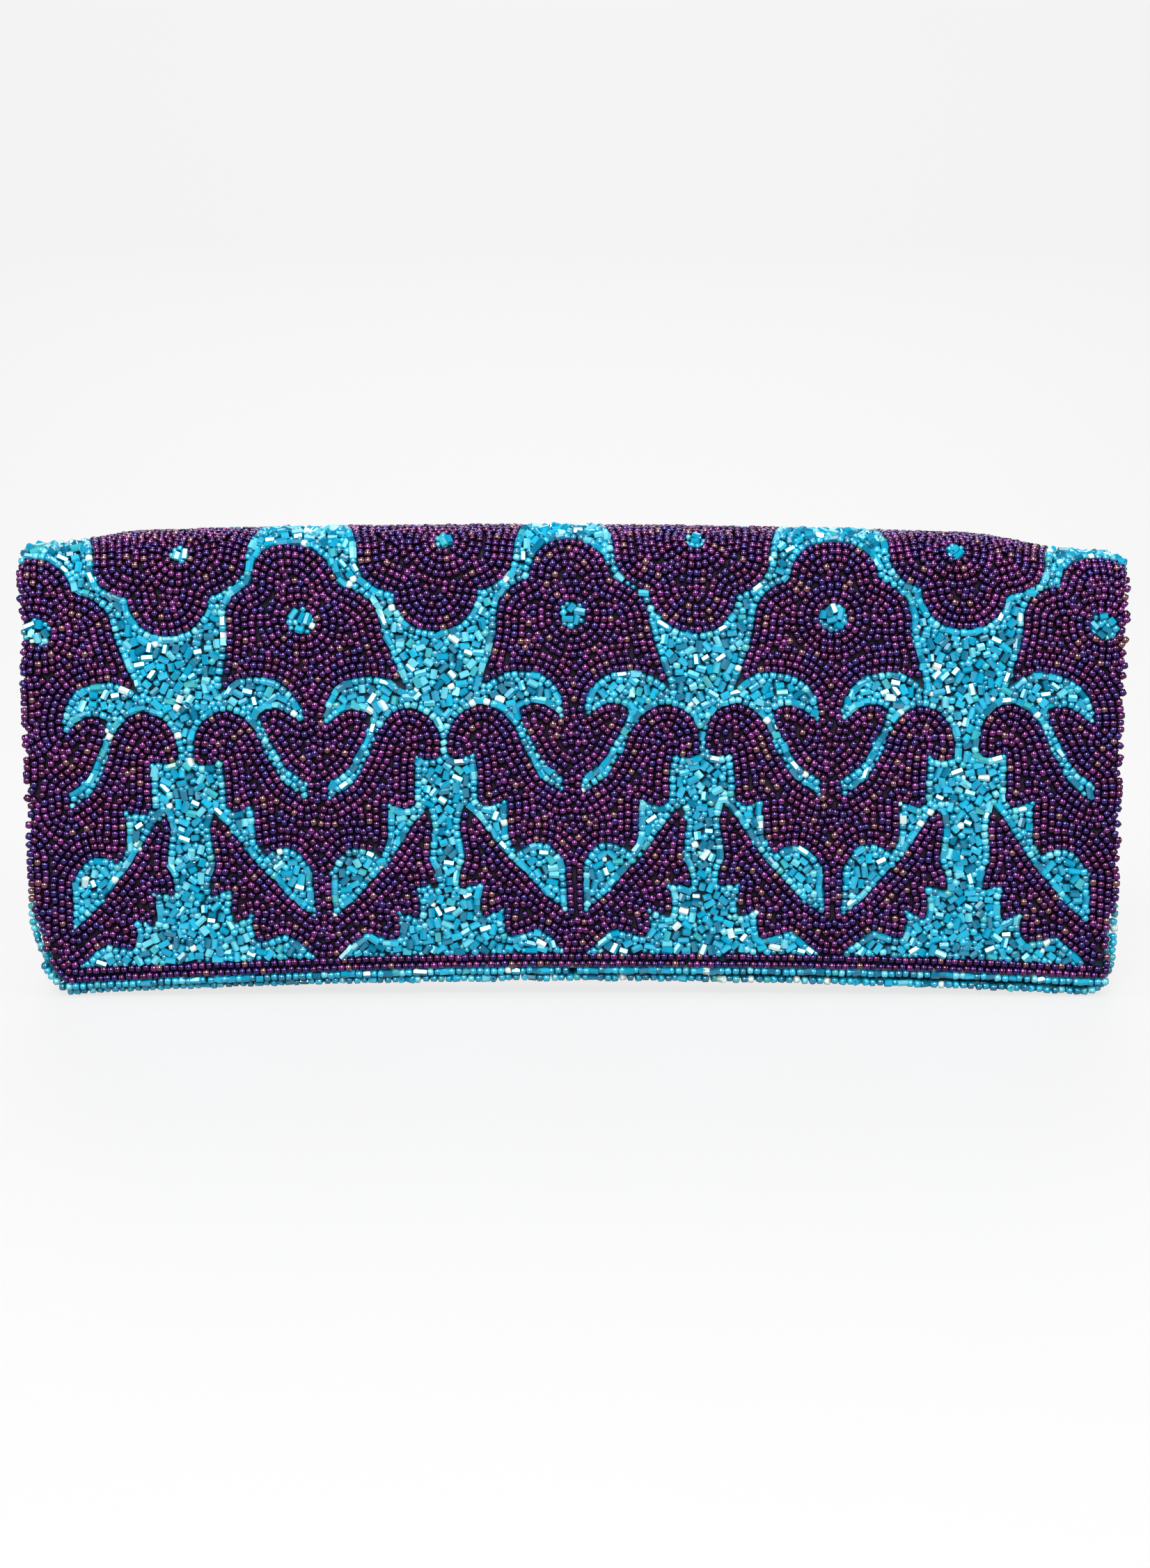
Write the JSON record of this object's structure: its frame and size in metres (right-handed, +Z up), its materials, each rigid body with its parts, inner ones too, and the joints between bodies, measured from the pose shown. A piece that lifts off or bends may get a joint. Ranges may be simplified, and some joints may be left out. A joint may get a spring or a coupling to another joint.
{
  "type": "beaded clutch purse",
  "caption": "Flat rectangular clutch purse covered in glass beads; the back rolls over the top into a full front flap held by a hidden magnetic snap.",
  "frame": {"origin": "middle of the bottom of the closed purse's bounding box", "axes": "+X along the purse's width, -Y towards the front flap, +Z up"},
  "size_m": [0.28, 0.022, 0.118],
  "materials": {
    "bead_turquoise": "translucent turquoise seed beads and cut beads with an iridescent coat, some with a silvery flash",
    "bead_purple": "dark violet seed beads with a pink, orange and blue iridescent coat",
    "satin": "turquoise satin base cloth",
    "lining_satin": "darker turquoise satin lining",
    "fibre_board": "plain pressed fibre board",
    "nickel": "nickel plate, polished",
    "magnet": "dark sintered magnet",
    "steel": "plain stamped steel"
  },
  "bodies": {
    "back": {"back_beadwork": "bead_turquoise", "back_cloth": "satin", "back_board": "fibre_board", "back_lining": "lining_satin", "slip_pocket": "lining_satin", "bottom_beadwork": "bead_turquoise", "bottom_cloth": "satin", "bottom_board": "fibre_board", "bottom_lining": "lining_satin", "left_side_beadwork": "bead_turquoise", "left_side_cloth": "satin", "left_gusset": "lining_satin", "right_side_beadwork": "bead_turquoise", "right_side_cloth": "satin", "right_gusset": "lining_satin"},
    "front_panel": {"front_cloth": "satin", "front_board": "fibre_board", "front_lining": "lining_satin", "front_bead_band": "bead_turquoise", "mouth_binding": "satin", "snap_socket_cap": "nickel", "snap_socket_magnet": "magnet", "snap_socket_base": "nickel", "snap_socket_washer": "steel"},
    "fold_back": {"fold_back_beadwork": "bead_turquoise", "fold_back_cloth": "satin", "fold_back_lining": "lining_satin"},
    "fold_middle": {"fold_middle_beadwork": "bead_turquoise", "fold_middle_cloth": "satin", "fold_middle_lining": "lining_satin"},
    "fold_front": {"fold_front_beadwork": "bead_turquoise", "fold_front_cloth": "satin", "fold_front_lining": "lining_satin"},
    "flap": {"flap_beadwork": "bead_purple", "flap_border_beads": "bead_purple", "flap_cloth": "satin", "flap_board": "fibre_board", "flap_lining": "lining_satin", "snap_stud": "nickel", "snap_stud_washer": "steel"}
  },
  "joints": [
    {"name": "fold_back_hinge", "type": "hinge", "parent": "back", "child": "fold_back", "pos_m": [0, 0.00785, 0.11025], "axis": [-1, 0, 0], "range_deg": [0, 45]},
    {"name": "fold_middle_hinge", "type": "hinge", "parent": "fold_back", "child": "fold_middle", "pos_m": [0, 0.00325, 0.11485], "axis": [-1, 0, 0], "range_deg": [0, 45]},
    {"name": "fold_front_hinge", "type": "hinge", "parent": "fold_middle", "child": "fold_front", "pos_m": [0, -0.00325, 0.11485], "axis": [-1, 0, 0], "range_deg": [0, 45]},
    {"name": "flap_hinge", "type": "hinge", "parent": "fold_front", "child": "flap", "pos_m": [0, -0.00785, 0.11025], "axis": [-1, 0, 0], "range_deg": [0, 45]},
    {"name": "front_panel_hinge", "type": "hinge", "parent": "back", "child": "front_panel", "pos_m": [0, -0.0027, 0.0025], "axis": [1, 0, 0], "range_deg": [0, 10]}
  ],
  "couplings": [
    {"joint": "fold_back_hinge", "follows": "flap_hinge", "ratio": 1},
    {"joint": "fold_middle_hinge", "follows": "flap_hinge", "ratio": 1},
    {"joint": "fold_front_hinge", "follows": "flap_hinge", "ratio": 1},
    {"joint": "front_panel_hinge", "follows": "flap_hinge", "ratio": 0.2222}
  ]
}
